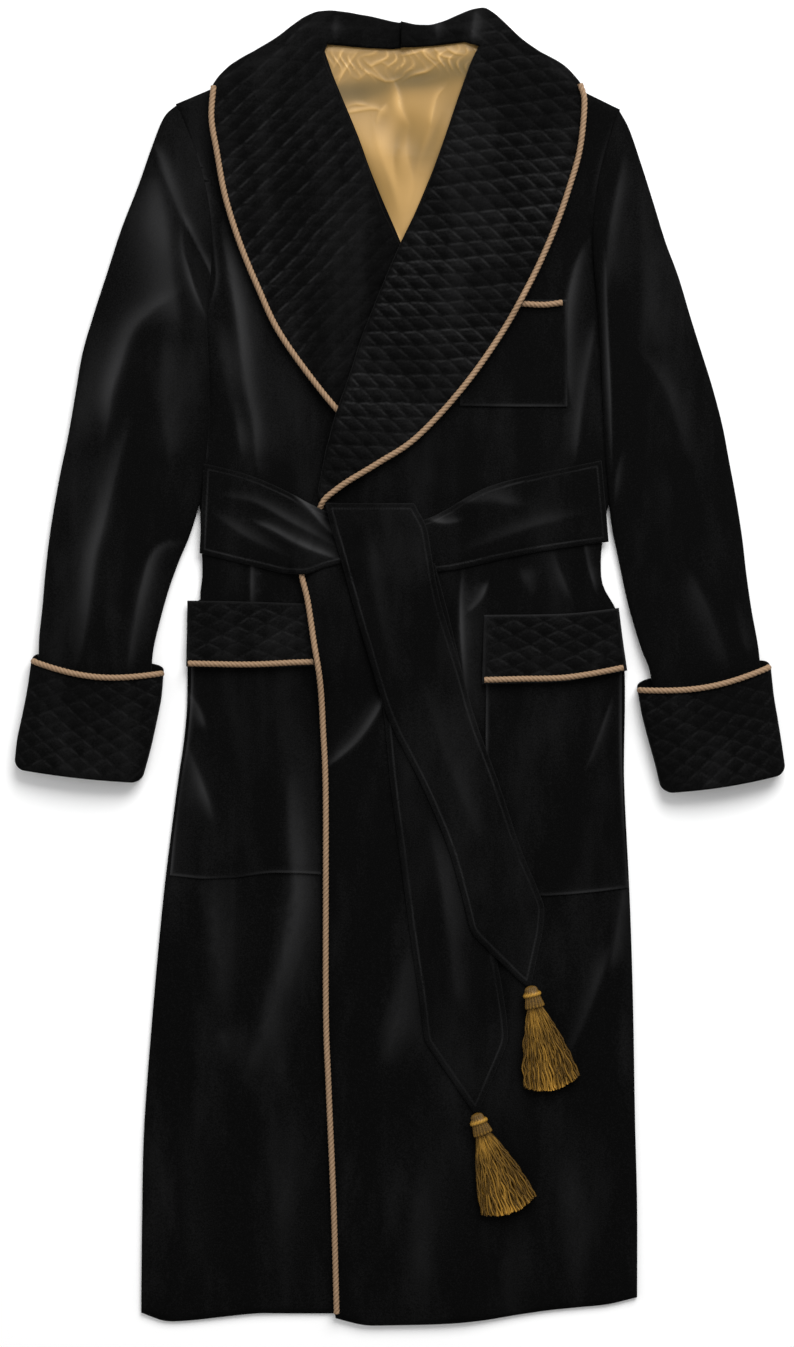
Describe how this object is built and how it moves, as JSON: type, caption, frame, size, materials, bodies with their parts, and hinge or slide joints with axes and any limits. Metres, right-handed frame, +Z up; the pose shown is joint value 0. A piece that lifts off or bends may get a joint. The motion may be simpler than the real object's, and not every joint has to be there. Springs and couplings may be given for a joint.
{
  "type": "smoking jacket",
  "caption": "Long velvet smoking jacket laid flat, wrapped and belted, with quilted shawl collar, cuffs and pocket bands, corded edges and tasselled belt.",
  "frame": {"origin": "centre of the bounding box in X and Y, on the surface that the jacket lies on", "axes": "+Y from hem to collar, +X towards the wearer's left side, +Z up out of the front"},
  "size_m": [0.745, 1.2817, 0.0399],
  "materials": {
    "velvet": "black cotton velvet",
    "quilted_velvet": "black velvet quilted in diamonds over wadding",
    "satin_lining": "gold satin",
    "twisted_cord": "gold twisted cord",
    "tassel_rayon": "dark gold rayon yarn"
  },
  "bodies": {
    "root": {"back": "velvet", "back_lining": "satin_lining", "belt_back": "velvet", "belt_end_lower": "velvet", "belt_end_upper": "velvet", "belt_waist_left": "velvet", "belt_waist_right": "velvet", "breast_pocket": "velvet", "collar_fall": "quilted_velvet", "collar_left": "quilted_velvet", "collar_right": "quilted_velvet", "cuff_left": "quilted_velvet", "cuff_right": "quilted_velvet", "front_left": "velvet", "front_right": "velvet", "piping_breast": "twisted_cord", "piping_collar_right": "twisted_cord", "piping_cuff_left": "twisted_cord", "piping_cuff_right": "twisted_cord", "piping_left": "twisted_cord", "piping_pocket_left": "twisted_cord", "piping_pocket_right": "twisted_cord", "pocket_band_left": "quilted_velvet", "pocket_band_right": "quilted_velvet", "pocket_left": "velvet", "pocket_right": "velvet", "sleeve_left": "velvet", "sleeve_right": "velvet", "tassel_lower": "tassel_rayon", "tassel_upper": "tassel_rayon"}
  },
  "joints": []
}
